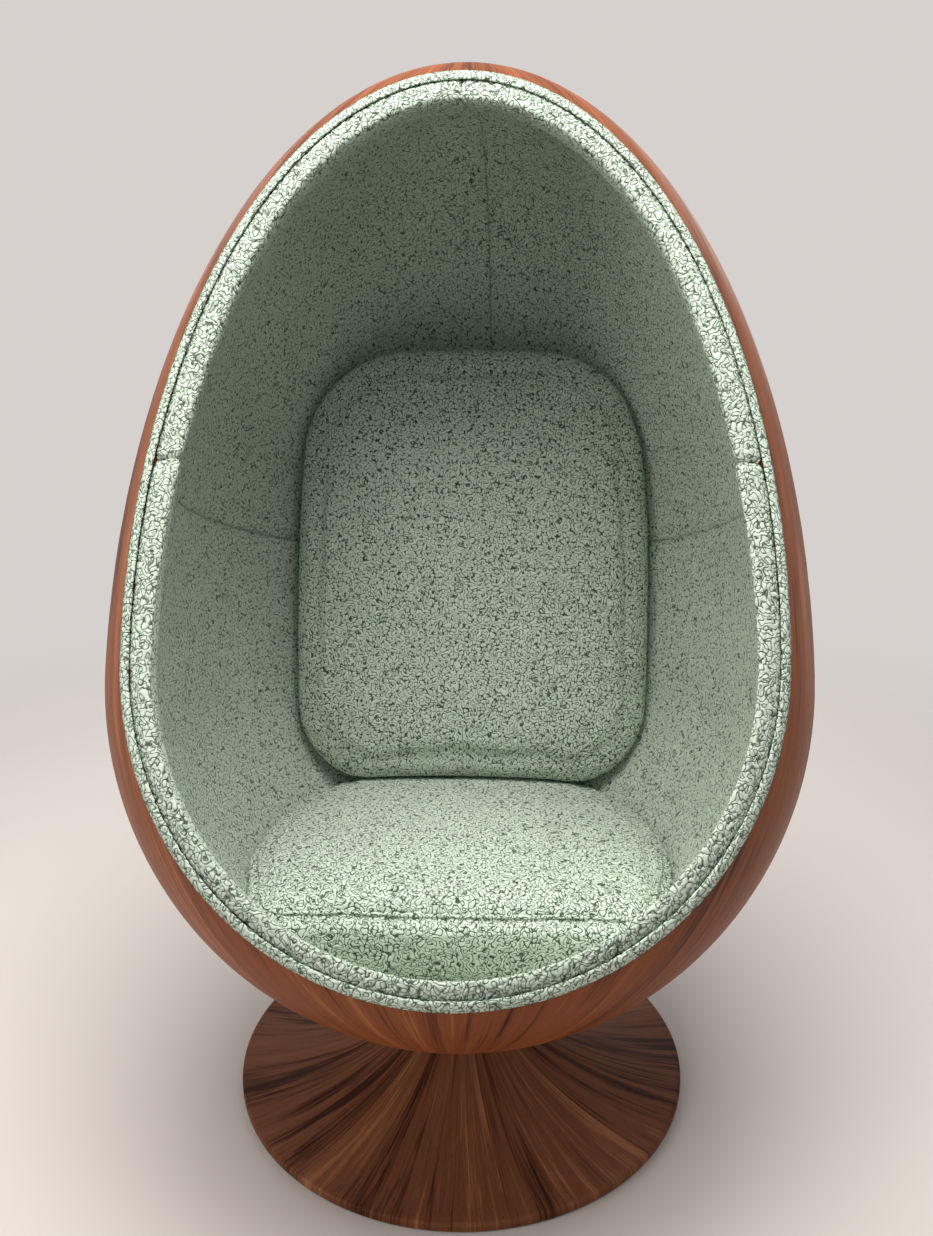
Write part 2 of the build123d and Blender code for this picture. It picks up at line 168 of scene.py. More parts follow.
class PodChairCloth(PropertyGroup):
    """Sizes and colours of the looped cloth and its padding."""

    loop_length: length("Loop", "From one loop of the cushions' cloth to the next", 0.0062)
    loop_depth: length("Loop depth", "Depth of the hollows between the cushions' loops", 0.0009)
    pebble_length: length("Pebble", "From one bunch of loops to the next at the seat's front", 0.0098)
    pebble_depth: length("Pebble depth", "Depth between the bunches at the seat's front", 0.0021)
    rim_loop_length: length("Rim loop", "From loop to loop on the rolled rim", 0.0058)
    rim_loop_depth: length("Rim loop depth", "Depth of the hollows on the rolled rim", 0.0013)
    wall_loop_length: length("Wall loop", "From loop to loop on the pod's inner walls", 0.0085)
    wall_loop_depth: length("Wall loop depth", "Depth of the hollows on the inner walls", 0.0006)
    seam_round: length("Seam round", "How far from a seam the padding starts to turn in", 0.011)
    seam_depth: length("Seam depth", "How far the padding is drawn in at a seam", 0.007)
    groove_depth: length("Groove", "How deep the cushions' sewn edges are drawn in", 0.0045)
    piping_radius: length("Piping", "Radius of the sewn edge of the cushions", 0.0026)
    start_inset: length("Start", "How much smaller the cushions are before they swell", 0.007)
    swell_cap: length("Swell", "The furthest that the filling may move the cloth", 0.024)
    pressure: number("Pressure", "Push of the filling from inside", 4.0, 20)
    crest: colour("Crest", "The lit tops of the loops", shade(222, 234, 217))
    cloth: colour("Cloth", "The body of the cloth", shade(190, 203, 185))
    hollow: colour("Hollow", "The shaded hollows between the loops", shade(70, 82, 66))


class PodChairWood(PropertyGroup):
    """Colours and layout of the walnut veneer."""

    light: colour("Light", "Pale bands of the veneer", shade(160, 96, 58))
    middle: colour("Middle", "The veneer's main colour", shade(126, 68, 36))
    dark: colour("Dark", "Dark bands and pores", shade(66, 31, 17))
    foot_light: colour("Foot light", "Pale bands of the foot's veneer", shade(150, 98, 68))
    foot_middle: colour("Foot middle", "The foot veneer's main colour", shade(112, 68, 46))
    foot_dark: colour("Foot dark", "The foot veneer's dark bands", shade(52, 26, 15))
    lacquer: number("Lacquer", "Roughness of the satin lacquer", 0.40, 1, subtype="FACTOR")
    foot_leaves: IntProperty(
        name="Foot leaves", description="Veneer leaves laid round the foot", default=28, min=6, max=72)


class PodChairStage(PropertyGroup):
    """Floor, backdrop, lamps and camera."""

    floor: colour("Floor", "Colour of the floor", shade(198, 190, 183))
    backdrop: colour("Backdrop", "Colour behind the chair", shade(214, 209, 206))
    ambient: number("Ambient", "Even light from all round", 0.35, 2)
    key: watts("Key lamp", "Power of the lamp at the upper left", 40.0)
    over: watts("Top lamp", "Power of the lamp overhead", 106.0)
    fill: watts("Fill lamp", "Power of the lamp at the right", 6.0)
    rear: watts("Rear lamp", "Power of the lamp behind", 18.0)


# ---- materials ----

class Wire:
    """A shader socket that takes part in sums: an expression on wires adds its Math nodes."""

    def __init__(self, nodes, socket):
        self.nodes = nodes
        self.socket = socket

    def also(self, output):
        """Another output of the same node."""
        return Wire(self.nodes, self.socket.node.outputs[output])

    def maths(self, operation, *others):
        """A Math node on this wire and the others."""
        values = dict(enumerate((self, *others)))
        return self.nodes.add("ShaderNodeMath", {"operation": operation}, values)

    def __add__(self, other):
        return self.maths("ADD", other)

    def __sub__(self, other):
        return self.maths("SUBTRACT", other)

    def __rsub__(self, other):
        return self * -1.0 + other

    def __mul__(self, other):
        return self.maths("MULTIPLY", other)

    def __truediv__(self, other):
        return self.maths("DIVIDE", other)

    def __pow__(self, other):
        return self.maths("POWER", other)

    def __abs__(self):
        return self.maths("ABSOLUTE")

    __radd__ = __add__
    __rmul__ = __mul__


class Nodes:
    """The node tree of a material or a world, emptied, and built up by add."""

    def __init__(self, owner):
        owner.use_nodes = True
        self.tree = owner.node_tree
        self.tree.nodes.clear()

    def join(self, socket, value):
        """Gives a socket a wire, a number or a colour."""
        if isinstance(value, Wire):
            self.tree.links.new(value.socket, socket)
        elif socket.type == "RGBA":
            socket.default_value = (*value, 1.0)
        else:
            socket.default_value = value

    def add(self, kind, settings=None, sockets=None, out=0):
        """Adds a node: its type, its settings, then the values or wires of its sockets."""
        node = self.tree.nodes.new(kind)
        for name, value in (settings or {}).items():
            if name == "stops":
                stops = node.color_ramp.elements
                while len(stops) < len(value):
                    stops.new(0.5)
                for stop, (place, tone) in zip(stops, value):
                    stop.position, stop.color = place, (*tone, 1.0)
            else:
                setattr(node, name, value)
        for name, value in (sockets or {}).items():
            self.join(node.inputs[name], value)
        return Wire(self, node.outputs[out]) if len(node.outputs) else None


class Finish(Nodes):
    """One material, with the principled shader at its end."""

    def __init__(self, name):
        self.material = bpy.data.materials.new(name)
        super().__init__(self.material)
        shader = self.add("ShaderNodeBsdfPrincipled")
        self.add("ShaderNodeOutputMaterial", {}, {"Surface": shader})
        self.shader = shader.socket.node

    def set(self, **sockets):
        """Gives the shader's sockets, named with _ for each space, their wires or values."""
        for name, value in sockets.items():
            self.join(self.shader.inputs[name.replace("_", " ")], value)

    def place(self):
        """Where a point is on the object, in metres."""
        return self.add("ShaderNodeTexCoord", out="Object")

    def vectors(self, operation, *values, out=0):
        """A Vector Math node on these values."""
        return self.add("ShaderNodeVectorMath", {"operation": operation}, dict(enumerate(values)), out)

    def dot(self, vector, fixed):
        """How far a vector reaches along a fixed one."""
        return self.vectors("DOT_PRODUCT", vector, tuple(fixed), out="Value")

    def vector(self, x, y, z):
        return self.add("ShaderNodeCombineXYZ", {}, {0: x, 1: y, 2: z})

    def scaled(self, vector, times):
        return self.vectors("MULTIPLY", vector, times)

    def noise(self, vector, scale, detail=2.0, roughness=0.5, distortion=0.0):
        return self.add("ShaderNodeTexNoise", {}, {
            "Vector": vector, "Scale": scale, "Detail": detail, "Roughness": roughness,
            "Distortion": distortion})

    def between(self, value, low, high, to_low=0.0, to_high=1.0):
        """value turned from one range into another, and held inside it."""
        return self.add("ShaderNodeMapRange", {"interpolation_type": "SMOOTHSTEP"}, {
            "Value": value, "From Min": low, "From Max": high, "To Min": to_low, "To Max": to_high})

    def blend(self, factor, first, second):
        """From the first colour to the second."""
        return self.add("ShaderNodeMix", {"data_type": "RGBA"}, {0: factor, 6: first, 7: second}, 2)

    def bump(self, height, distance, strength):
        return self.add(
            "ShaderNodeBump", {}, {"Height": height, "Distance": distance, "Strength": strength})


def looped_cloth(name, cloth, curl, groove_shade, pit_shade, hollows, crest_highlight, relief):
    """Sage looped cloth: curled yarns, with painted shade in the furrows and holes between them and in the
    relief's hollows, and a painted highlight on their tops.

    curl is from yarn to yarn, relief the bump's height, and the other four how much of the painted shade in
    furrows, holes and hollows, and of the painted highlight, shows."""
    f = Finish(name)
    place = f.place()
    loft = f.add("ShaderNodeAttribute", {"attribute_name": "loft"}, {}, "Fac")
    wander = f.noise(place, 0.20 / curl, 1.0).also("Color")
    drift = f.vectors("MULTIPLY_ADD", wander, (4.4 * curl,) * 3, place)
    wave = sum(
        (f.dot(drift, np.array(way) * (math.pi / curl)) + turn).maths("SINE")
        for turn, way in enumerate(yarn_ways)
    ) * 0.577
    ridge = f.between(abs(wave), 0.0, 0.95)
    # painted shade: dark furrows where the yarn waves cancel, between the loops
    groove = f.between(abs(wave), 0.08, 0.55, 1.0, 0.0)
    cells = f.add("ShaderNodeTexVoronoi", {}, {"Vector": drift, "Scale": 0.30 / curl})
    # painted shade: dark holes in a few of the cells
    chosen = f.between(f.dot(cells.also("Color"), (1, 0, 0)), 0.70, 0.76)
    pit = f.between(cells, 0.17, 0.34, 1.0, 0.0) * chosen
    fuzz = f.noise(place, 1400.0, 2.0, 0.6)
    slow = f.noise(place, 7.0, 2.0, 0.5)
    # painted shade in the hollows of the mesh's relief, read from its loft
    low = f.between(loft, 0.0, 0.75, 1.0, 0.0)
    # dark sums the painted shade of furrows, holes and hollows, with some fine fuzz
    dark = f.between(groove * groove_shade + pit * pit_shade + low * hollows + fuzz * 0.16, 0.06, 1.0)
    # pale is a painted highlight on the loops' tops
    pale = (ridge * 0.75 + fuzz * 0.25) * crest_highlight
    body = f.blend(f.between(slow, 0.35, 0.65, 0.0, 0.10), cloth.cloth, cloth.hollow)
    # the painted highlight, then the painted shade, laid over the cloth's own colour
    body = f.blend(pale, body, cloth.crest)
    body = f.blend(dark, body, cloth.hollow)
    f.set(Base_Color=body, Roughness=f.between(dark, 0.0, 1.0, 0.88, 0.98))
    height = ridge * 0.8 - pit * 0.7 + fuzz * 0.16
    f.set(Normal=f.bump(height, relief, 0.9))
    f.set(Sheen_Weight=0.22, Sheen_Roughness=0.5, Sheen_Tint=cloth.crest, Specular_IOR_Level=0.15)
    return f.material


def cloth_material(key):
    """A cloth's material, made once and shared by several pieces."""
    known = bpy.data.materials.get(key)
    return known or looped_cloth(key, bpy.context.scene.pod_cloth, *cloth_looks[key])


def veneer(f, run, tone, light, middle, dark, lacquer):
    """Walnut figure on a vector that turns across the grain in x and y and runs along it in z.

    It gives the gloss and pores, and returns the colour."""
    wander = f.noise(f.scaled(run, (0.05, 0.05, 0.6)), 1.0, 2.0)
    band = f.noise(f.scaled(run, (0.16, 0.16, 0.5)), 1.0, 3.0, 0.55, 0.6)
    streak = f.noise(run, 1.0, 4.0, 0.62)
    fine = f.noise(f.scaled(run, (3.4, 3.4, 3.0)), 1.0, 3.0, 0.6)
    pores = f.noise(f.scaled(run, (6.5, 6.5, 16.0)), 1.0, 1.0)
    figure = band * 0.42 + streak * 0.36 + fine * 0.16 + wander * 0.12 + tone * 0.10
    body = f.add("ShaderNodeValToRGB", {
        "stops": [(0.46, dark), (0.56, middle), (0.62, middle), (0.72, light)]}, {0: figure})
    pore = f.between(pores, 0.30, 0.42, 1.0, 0.0)
    body = f.blend(pore * 0.45, body, dark)
    f.set(Roughness=f.between(figure, 0.3, 0.75, lacquer + 0.05, lacquer - 0.04))
    f.set(Normal=f.bump(fine * 0.5 - pore, 0.00018, 0.35))
    f.set(Coat_Weight=0.02, Coat_Roughness=0.16, Specular_IOR_Level=0.14, IOR=1.22)
    return body


def shell_veneer(wood):
    """Veneer laid in long leaves from the pod's low end to its high end, with painted shade along its edge
    where the cloth roll meets it.
    """
    f = Finish("walnut_shell")
    place = f.vectors("SUBTRACT", f.place(), tuple(egg_centre))
    x, aside, along = (f.dot(place, axis) for axis in egg_axes)
    turn = (x * x + aside * aside + 1e-5) ** 0.5
    run = f.vector(x / turn * 66, aside / turn * 66, along * 7.0)
    tone = f.noise(f.vector(x, aside, along), 2.2)
    body = veneer(f, run, tone, wood.light, wood.middle, wood.dark, wood.lacquer)
    # painted shade: a dark band along the shell's edge, next to the cloth roll
    ahead = f.dot(place, inward) - float(inward @ (opening_corner - egg_centre))
    edge = f.between(ahead, 0.0015, 0.0065, 0.75, 0.0)
    f.set(Base_Color=f.blend(edge, body, wood.dark))
    return f.material


def foot_veneer(wood):
    """Veneer leaves laid round the foot, each with its grain along the radius."""
    f = Finish("walnut_foot")
    place = f.place()
    x, y = f.dot(place, (1, 0, 0)), f.dot(place, (0, 1, 0))
    out = (x * x + y * y + 1e-6) ** 0.5
    turn = y.maths("ARCTAN2", x) * (wood.foot_leaves / (2 * math.pi)) + wood.foot_leaves * 4.0
    leaf = turn.maths("FLOOR")
    share = turn - leaf
    own = f.add("ShaderNodeTexWhiteNoise", {"noise_dimensions": "1D"}, {"W": leaf}, "Value")
    run = f.vector(x / out * 70, y / out * 70, out * 8.0 + own * 37.0)
    body = veneer(f, run, own * 1.4 - 0.2, wood.foot_light, wood.foot_middle, wood.foot_dark,
                  wood.lacquer - 0.04)
    joint = f.between(abs(share - 0.5), 0.485, 0.5)
    f.set(Base_Color=f.blend(joint * 0.5, body, wood.foot_dark))
    return f.material


def plain_wood(name, pale, dark):
    """Birch plywood: thin layers seen on its edges, soft grain on its faces."""
    f = Finish(name)
    place = f.place()
    layer = f.dot(place, (0, 0, 1)) * 620
    ply = f.between(abs(layer - layer.maths("FLOOR") - 0.5), 0.18, 0.36)
    grain = f.noise(f.scaled(place, (12.0, 160.0, 160.0)), 1.0, 4.0, 0.6)
    body = f.blend(f.between(grain, 0.35, 0.7), pale, dark)
    f.set(Base_Color=f.blend(ply * 0.35, body, dark), Roughness=f.between(grain, 0.3, 0.7, 0.62, 0.52))
    f.set(Normal=f.bump(grain, 0.0002, 0.3))
    return f.material


def metal(name, pale, dark, grain, rough, shiny=1.0, stretch=(1.0, 1.0, 1.0), deep=0.0001):
    """Metal with a fine worked grain, a little wear and uneven polish."""
    f = Finish(name)
    place = f.place()
    fine = f.noise(f.scaled(place, stretch), grain, 3.0, 0.6)
    wear = f.noise(place, 34.0, 4.0, 0.6)
    mark = f.between(wear, 0.56, 0.70)
    body = f.blend(f.between(fine, 0.3, 0.7), dark, pale)
    f.set(Base_Color=f.blend(mark * 0.3, body, pale))
    f.set(Roughness=f.between(wear, 0.3, 0.7, rough - 0.06, rough + 0.08))
    f.set(Normal=f.bump(fine, deep, 0.4), Metallic=shiny)
    return f.material


def moulded(name, pale, dark, rough):
    """Moulded plastic or felt with a fine grain and slow changes of tone."""
    f = Finish(name)
    place = f.place()
    fine = f.noise(place, 900.0, 3.0, 0.6)
    slow = f.noise(place, 28.0, 2.0)
    body = f.blend(f.between(fine * 0.6 + slow * 0.4, 0.35, 0.65), dark, pale)
    f.set(Base_Color=body, Roughness=f.between(slow, 0.3, 0.7, rough - 0.05, rough + 0.05))
    f.set(Normal=f.bump(fine, 0.00012, 0.5))
    return f.material


# ---- forms ----

def unit(value):
    """value held between 0 and 1."""
    return np.clip(value, 0, 1)


def gentle(value):
    """The same, with a gentle start and end."""
    share = unit(value)
    return share * share * (3 - 2 * share)


def turns(count):
    """Even turns of a circle, in radians."""
    return np.arange(count) * 2 * math.pi / count


def circle(count, radius=1.0):
    """A level ring of points round the middle."""
    turn = turns(count)
    return np.stack([radius * np.cos(turn), radius * np.sin(turn), 0 * turn], 1)


def reach(start, way, inset):
    """How far along each way the pod's form, drawn in by inset, is met."""
    start, way = np.broadcast_arrays((start - egg_centre) @ egg_axes.T, way @ egg_axes.T)
    inset = np.asarray(inset)[..., None]
    found = []
    for size in (egg_above, egg_below):
        scale = 1 / (np.array([egg_radius, egg_radius, size]) - inset)
        a = ((way * scale) ** 2).sum(-1)
        b = (way * start * scale ** 2).sum(-1)
        c = ((start * scale) ** 2).sum(-1) - 1
        found.append((-b + np.sqrt(np.maximum(b * b - a * c, 0))) / a)
    return np.where(start[..., 2] + found[0] * way[..., 2] >= 0, *found)


def inset_of(points):
    """How far each point lies inside the shell's outer form."""
    spot = (points - egg_centre) @ egg_axes.T
    size = np.where(spot[:, 2] < 0, egg_below, egg_above)
    wide = np.hypot(spot[:, 0], spot[:, 1])
    inset = np.zeros(len(points))
    for _ in range(16):
        form = np.hypot(wide / (egg_radius - inset), spot[:, 2] / (size - inset))
        inset += (1 - form) * egg_radius / 2
    return inset


def ways_round(count):
    """Even directions round the opening, in its plane."""
    turn = turns(count)
    way = np.outer(rim_half_width * np.cos(turn), across) + np.outer(rim_half_height * np.sin(turn), upward)
    return way / np.linalg.norm(way, axis=1)[:, None]


def rim_row(count, inset, depth):
    """A ring round the pod on its form drawn in by inset, depth behind the opening."""
    way = ways_round(count)
    start = rim_middle + np.multiply.outer(depth, inward)
    return start + way * reach(start, way, inset)[:, None]


def rise_round(count):
    """Where each direction round the opening points, -1 at its foot to 1 at its top."""
    return ways_round(count) @ upward


def wall_row(count, inset, share, first_depth, rim_inset=None):
    """A ring deeper in the pod: share runs from first_depth at 0 to the back at 1.

    With rim_inset, the wall thickens from that to inset as it leaves the rim."""
    way = ways_round(count)
    from_here = rim_middle + np.multiply.outer(first_depth, inward)
    near = inset if rim_inset is None else rim_inset
    first = np.arctan2(first_depth, reach(from_here, way, near))
    turn = first + share * (wall_end - first)
    way = way * np.cos(turn)[:, None] + np.outer(np.sin(turn), inward)
    if rim_inset is not None:
        depth = reach(rim_middle, way, inset) * np.sin(turn) - first_depth
        inset = rim_inset + (inset - rim_inset) * gentle(depth / wall_grows_over)
    return rim_middle + way * reach(rim_middle, way, inset)[:, None]


def ring_faces(rows, closed=False):
    """Faces between rings; a ring may have half as many points as the next."""
    starts = np.cumsum([0] + [len(r) for r in rows])
    order = [*range(len(rows)), *[0] * closed]
    faces = []
    for one, two in zip(order, order[1:]):
        m, n = len(rows[one]), len(rows[two])
        a, b = starts[one], starts[two]
        if m == n:
            k = np.arange(m)
            j = (k + 1) % m
            faces += np.stack([a + k, a + j, b + j, b + k], 1).tolist()
        else:
            few, many, base, fine = (m, n, a, b) if m < n else (n, m, b, a)
            k = np.arange(few)
            j = (k + 1) % few
            five = np.stack(
                [base + k, base + j, fine + (2 * k + 2) % many, fine + 2 * k + 1, fine + 2 * k], 1)
            faces += (five if m < n else five[:, ::-1]).tolist()
    return faces


def loops(points, spacing, seed, waves=40):
    """Relief of curled yarns: 1 on one and 0 between two, where waves from all sides cancel."""
    pick = np.random.RandomState(seed)
    way = pick.normal(size=(waves, 3))
    way /= np.linalg.norm(way, axis=1)[:, None]
    way *= (math.pi / spacing * pick.uniform(0.9, 1.25, waves))[:, None]
    total = np.zeros(len(points))
    for wave, turn in zip(way, pick.uniform(0, 2 * math.pi, waves)):
        total += np.cos(points @ wave + turn)
    return gentle(np.abs(total) / math.sqrt(waves / 2) / 0.75)


def turned_in(distance, over, depth):
    """How far padding is drawn in at a distance from a seam."""
    share = unit(1 - distance / over)
    return depth * (1 - np.sqrt(1 - share ** 2))


def points_of(mesh):
    points = np.empty(len(mesh.vertices) * 3)
    mesh.vertices.foreach_get("co", points)
    return points.reshape(-1, 3)


def normals_of(mesh):
    out = np.empty(len(mesh.vertices) * 3, np.float32)
    mesh.vertex_normals.foreach_get("vector", out)
    return out.reshape(-1, 3).astype(float)


def set_points(mesh, points):
    mesh.vertices.foreach_set("co", points.astype(np.float32).ravel())
    mesh.update()


def set_loft(mesh, loft):
    """Keeps the relief on the mesh; the cloth's material paints shade where it is low."""
    layer = mesh.attributes.get("loft") or mesh.attributes.new("loft", "FLOAT", "POINT")
    layer.data.foreach_set("value", loft.astype(np.float32))


def placed(name, data):
    """A new object, in the scene."""
    piece = bpy.data.objects.new(name, data)
    bpy.context.scene.collection.objects.link(piece)
    return piece


def clothed(piece, *materials):
    """The piece with these materials and smooth faces."""
    mesh = piece.data
    places = [face.material_index for face in mesh.polygons]
    mesh.materials.clear()
    for material in materials:
        mesh.materials.append(material)
    mesh.polygons.foreach_set("material_index", [min(k, len(materials) - 1) for k in places])
    mesh.polygons.foreach_set("use_smooth", [True] * len(places))
    return piece


def mesh_of_rows(name, rows, closed=False, caps=False):
    """A mesh over rings, either closed from the last to the first or capped at both ends."""
    mesh = bpy.data.meshes.new(name)
    faces = ring_faces(rows, closed)
    if caps:
        total = sum(len(r) for r in rows)
        faces.append(list(range(len(rows[0])))[::-1])
        faces.append(list(range(total - len(rows[-1]), total)))
    mesh.from_pydata(np.concatenate(rows).tolist(), [], faces)
    mesh.update()
    return mesh


# ---- lining ----

def roll_inside(rise):
    """The inset of the rolled rim's inner side, which is widest at the top."""
    return 0.031 + 0.011 * rise + 0.007 * unit(rise) ** 2


def roll_depth(rise):
    """How far back the rolled rim's inner side falls before the wall starts."""
    return 0.022 + 0.009 * rise + 0.024 * unit(rise) ** 2


def lining_profile(thickness, proud):
    """Rings of a pad: back against the shell, over its rolled rim, and down its inner wall.

    Each comes with its kind: 1 on the rim, 0 on the wall and -1 where it is glued."""
    rings = []
    for count, share in ((180, 1.0), (180, 0.8), (360, 0.6), (360, 0.4), (360, 0.22), (720, 0.1)):
        rings.append((wall_row(count, pad_outside, share, back_start), -1.0))
    for count, depth in ((720, back_start), (1440, 0.02), (1440, 0.014)):
        rings.append((rim_row(count, pad_outside, depth), -1.0))
    full, roll_steps, wall_steps = pad_outside + thickness, 38, 150
    outer_fall, edge_cover = 0.011, 0.0008
    rise = rise_round(1440)
    inner, under_hood = roll_inside(rise), unit(rise)
    for step in range(roll_steps + 1):
        turn = math.pi * step / roll_steps
        across_roll = (1 - math.copysign(abs(math.cos(turn)) ** 0.86, math.cos(turn))) / 2
        across_roll = across_roll ** (1 + 0.35 * under_hood + 0.95 * under_hood ** 2)
        outside = turn < math.pi / 2
        tall = outer_fall if outside else roll_depth(rise)
        power = 0.55 if outside else 0.90 + 1.3 * under_hood ** 2
        depth = tall - (tall + proud) * np.power(abs(math.sin(turn)), power)
        inset = roll_outside + (inner - roll_outside) * across_roll
        inset = np.where(depth > -edge_cover, np.maximum(inset, pad_outside), inset)
        rings.append((rim_row(1440, inset, depth), min(1.0, step / 4)))
    for step in range(1, wall_steps + 1):
        share = (step / wall_steps) ** 1.15
        count = 720 if share < 0.7 else 360 if share < 0.86 else 180
        rise = rise_round(count)
        ring = wall_row(count, full, share, roll_depth(rise), roll_inside(rise))
        rings.append((ring, max(0.0, 1 - step / 5)))
    return rings


def lining_form(cloth, thickness, proud, upper, seed):
    """The lining above or below the side seams, before its panels are cut."""
    rows, kinds = zip(*lining_profile(thickness, proud))
    mesh = mesh_of_rows("lining", rows, caps=True)
    points, out = points_of(mesh), normals_of(mesh)
    if (out[-1] @ inward) > 0:
        out = -out
    kind = np.repeat(kinds, [len(r) for r in rows])
    soft = kind >= 0
    rim = unit(kind)
    rim_loft = loops(points, cloth.rim_loop_length, seed)
    wall_loft = loops(points, cloth.wall_loop_length, seed + 1)
    loft = rim * rim_loft + (1 - rim) * wall_loft
    drop = rim * cloth.rim_loop_depth * (1 - rim_loft) + (1 - rim) * cloth.wall_loop_depth * (1 - wall_loft)
    seam = np.abs((points - side_seam_at) @ side_seam_up)
    joint = np.abs(points @ back_seam_right)
    if not upper:
        joint = np.where(points[:, 1] < egg_centre[1], np.abs(points[:, 0] - front_joint_x), joint)
    drop += turned_in(seam, cloth.seam_round * (1.0 if upper else 1.2), cloth.seam_depth)
    drop += turned_in(joint, cloth.seam_round * 0.8, cloth.seam_depth * 0.75)
    points = points - out * (drop * soft)[:, None]
    set_points(mesh, points)
    for face in mesh.polygons:
        face.material_index = int(kind[face.vertices[0]] > 0.5)
    # the loft falls near the side and back seams: painted shade along them
    seam_shade = unit(0.55 + seam / 0.006) * unit(0.55 + joint / 0.005)
    set_loft(mesh, np.where(soft, loft, 0.4) * seam_shade)
    return mesh


def cut_away(work, at, away, some=lambda centre: True, close="loop"):
    """Cuts the mesh by a plane, removes the side that away points to, and closes the cut.

    some picks faces by their middles. close is loop, ring between two loops, or open."""
    faces = [f for f in work.faces if some(f.calc_center_median())]
    geometry = list({v for f in faces for v in f.verts}) + list({e for f in faces for e in f.edges}) + faces
    bmesh.ops.bisect_plane(work, geom=geometry, dist=1e-6, plane_co=at, plane_no=away)
    at, away = Vector(at), Vector(away)
    gone = [
        f for f in work.faces
        if (f.calc_center_median() - at).dot(away) > 0 and some(f.calc_center_median())
    ]
    bmesh.ops.delete(work, geom=gone, context="FACES")
    edges = [e for e in work.edges if e.is_boundary]
    if close == "ring":
        bmesh.ops.bridge_loops(work, edges=edges)
    elif close == "loop":
        bmesh.ops.holes_fill(work, edges=edges, sides=0)


def cut_lining(mesh, name, upper, side, *materials):
    """One pad of the lining, cut from its ring at the seams."""
    work = bmesh.new()
    work.from_mesh(mesh)
    up = side_seam_up if upper else -side_seam_up
    turned = side * back_seam_right
    if upper:
        cut_away(work, turned * panel_gap, -turned)
    else:
        cut_away(work, (0, 0, deck_top), (0, 0, -1), close="ring")
        cut_away(work, turned * panel_gap, -turned, lambda c: c.y > egg_centre[1], "open")
        joint = (front_joint_x + side * panel_gap, 0, 0)
        cut_away(work, joint, (-side, 0, 0), lambda c: c.y <= egg_centre[1])
    cut_away(work, side_seam_at + up * panel_gap, -up)
    bmesh.ops.recalc_face_normals(work, faces=work.faces)
    if work.calc_volume(signed=True) < 0:
        bmesh.ops.reverse_faces(work, faces=work.faces)
    cut = bpy.data.meshes.new(name)
    work.to_mesh(cut)
    work.free()
    return clothed(placed(name, cut), *materials)


def make_lining(cloth, *materials):
    """The four panels, two cut from each form."""
    for height, pad, seed in (("upper", upper_pad, 11), ("lower", lower_pad, 23)):
        upper = height == "upper"
        mesh = lining_form(cloth, **pad, upper=upper, seed=seed)
        for side, hand in ((-1, "left"), (1, "right")):
            piece = cut_lining(mesh, f"{height}_{hand}_lining", upper, side, *materials)
            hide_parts(f"{height}_{hand}_pad")
            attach(piece, "pod")
        bpy.data.meshes.remove(mesh)


def make_platform_cloth(material):
    """The cloth laid over the seat platform, seen where the cushion stops short of the lining."""
    way = circle(240)
    lining_inside = pad_outside + lower_pad["thickness"]
    rows = []
    for height, back in ((0.0003, 0.0010), (0.0014, 0.0010), (0.0019, 0.0018), (0.0020, 0.0030)):
        start = np.array([0.0, egg_centre[1], deck_top + height])
        rows.append(start + way * (reach(start, way, lining_inside) - back)[:, None])
    mesh = mesh_of_rows("platform_cloth", rows, caps=True)
    set_loft(mesh, np.full(len(mesh.vertices), 0.5))
    if normals_of(mesh)[0] @ way[0] < 0:
        mesh.flip_normals()
    piece = clothed(placed("platform_cloth", mesh), material)
    x, y = rows[0][:, 0], rows[0][:, 1]
    area = abs(x @ np.roll(y, -1) - y @ np.roll(x, -1)) / 2
    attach(piece, "pod")


def make_welt(cloth, material):
    """The cloth roll on the shell's edge, outside the lining."""
    rows, loft_share = [], []
    steps, flat_steps = 14, 4
    for step in range(steps + 1):
        turn = math.pi * step / steps
        inset = (welt_outside + welt_inside) / 2 - (welt_inside - welt_outside) / 2 * math.cos(turn)
        rows.append(rim_row(1440, inset, welt_back - welt_proud * math.sin(turn) ** 0.55))
        loft_share.append(math.sin(turn))
    for step in range(1, flat_steps):
        inset = welt_inside + (welt_outside - welt_inside) * step / flat_steps
        rows.append(rim_row(1440, inset, welt_back))
        loft_share.append(0.0)
    mesh = mesh_of_rows("rim_welt_roll", rows, closed=True)
    points, out = points_of(mesh), normals_of(mesh)
    top = len(rows[0]) * (steps // 2)
    if (out[top] @ inward) > 0:
        out = -out
        mesh.flip_normals()
    share = np.repeat(unit(np.array(loft_share) * 2), len(rows[0]))
    loft = loops(points, cloth.rim_loop_length * 0.8, 5)
    set_points(mesh, points - out * ((1 - loft) * share * cloth.rim_loop_depth * 0.7)[:, None])
    # the loft falls towards the roll's two sides and its flat back: painted shade where the roll tucks
    # against the shell and the lining
    set_loft(mesh, loft * (0.4 + 0.6 * share))
    piece = clothed(placed("rim_welt_roll", mesh), material)
    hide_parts("rim_welt")
    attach(piece, "pod")


# ---- cushions ----

def evaluated(piece):
    """The mesh that a piece's modifiers make."""
    view = bpy.context.evaluated_depsgraph_get()
    view.update()
    return bpy.data.meshes.new_from_object(piece.evaluated_get(view))


def swap_mesh(piece, mesh):
    old = piece.data
    piece.modifiers.clear()
    piece.data = mesh
    bpy.data.meshes.remove(old)


def smoothed(mesh, times):
    """Evens out a mesh's surface."""
    work = bmesh.new()
    work.from_mesh(mesh)
    for _ in range(times):
        bmesh.ops.smooth_vert(
            work, verts=work.verts, factor=0.5, use_axis_x=True, use_axis_y=True, use_axis_z=True)
    work.to_mesh(mesh)
    work.free()
    mesh.update()


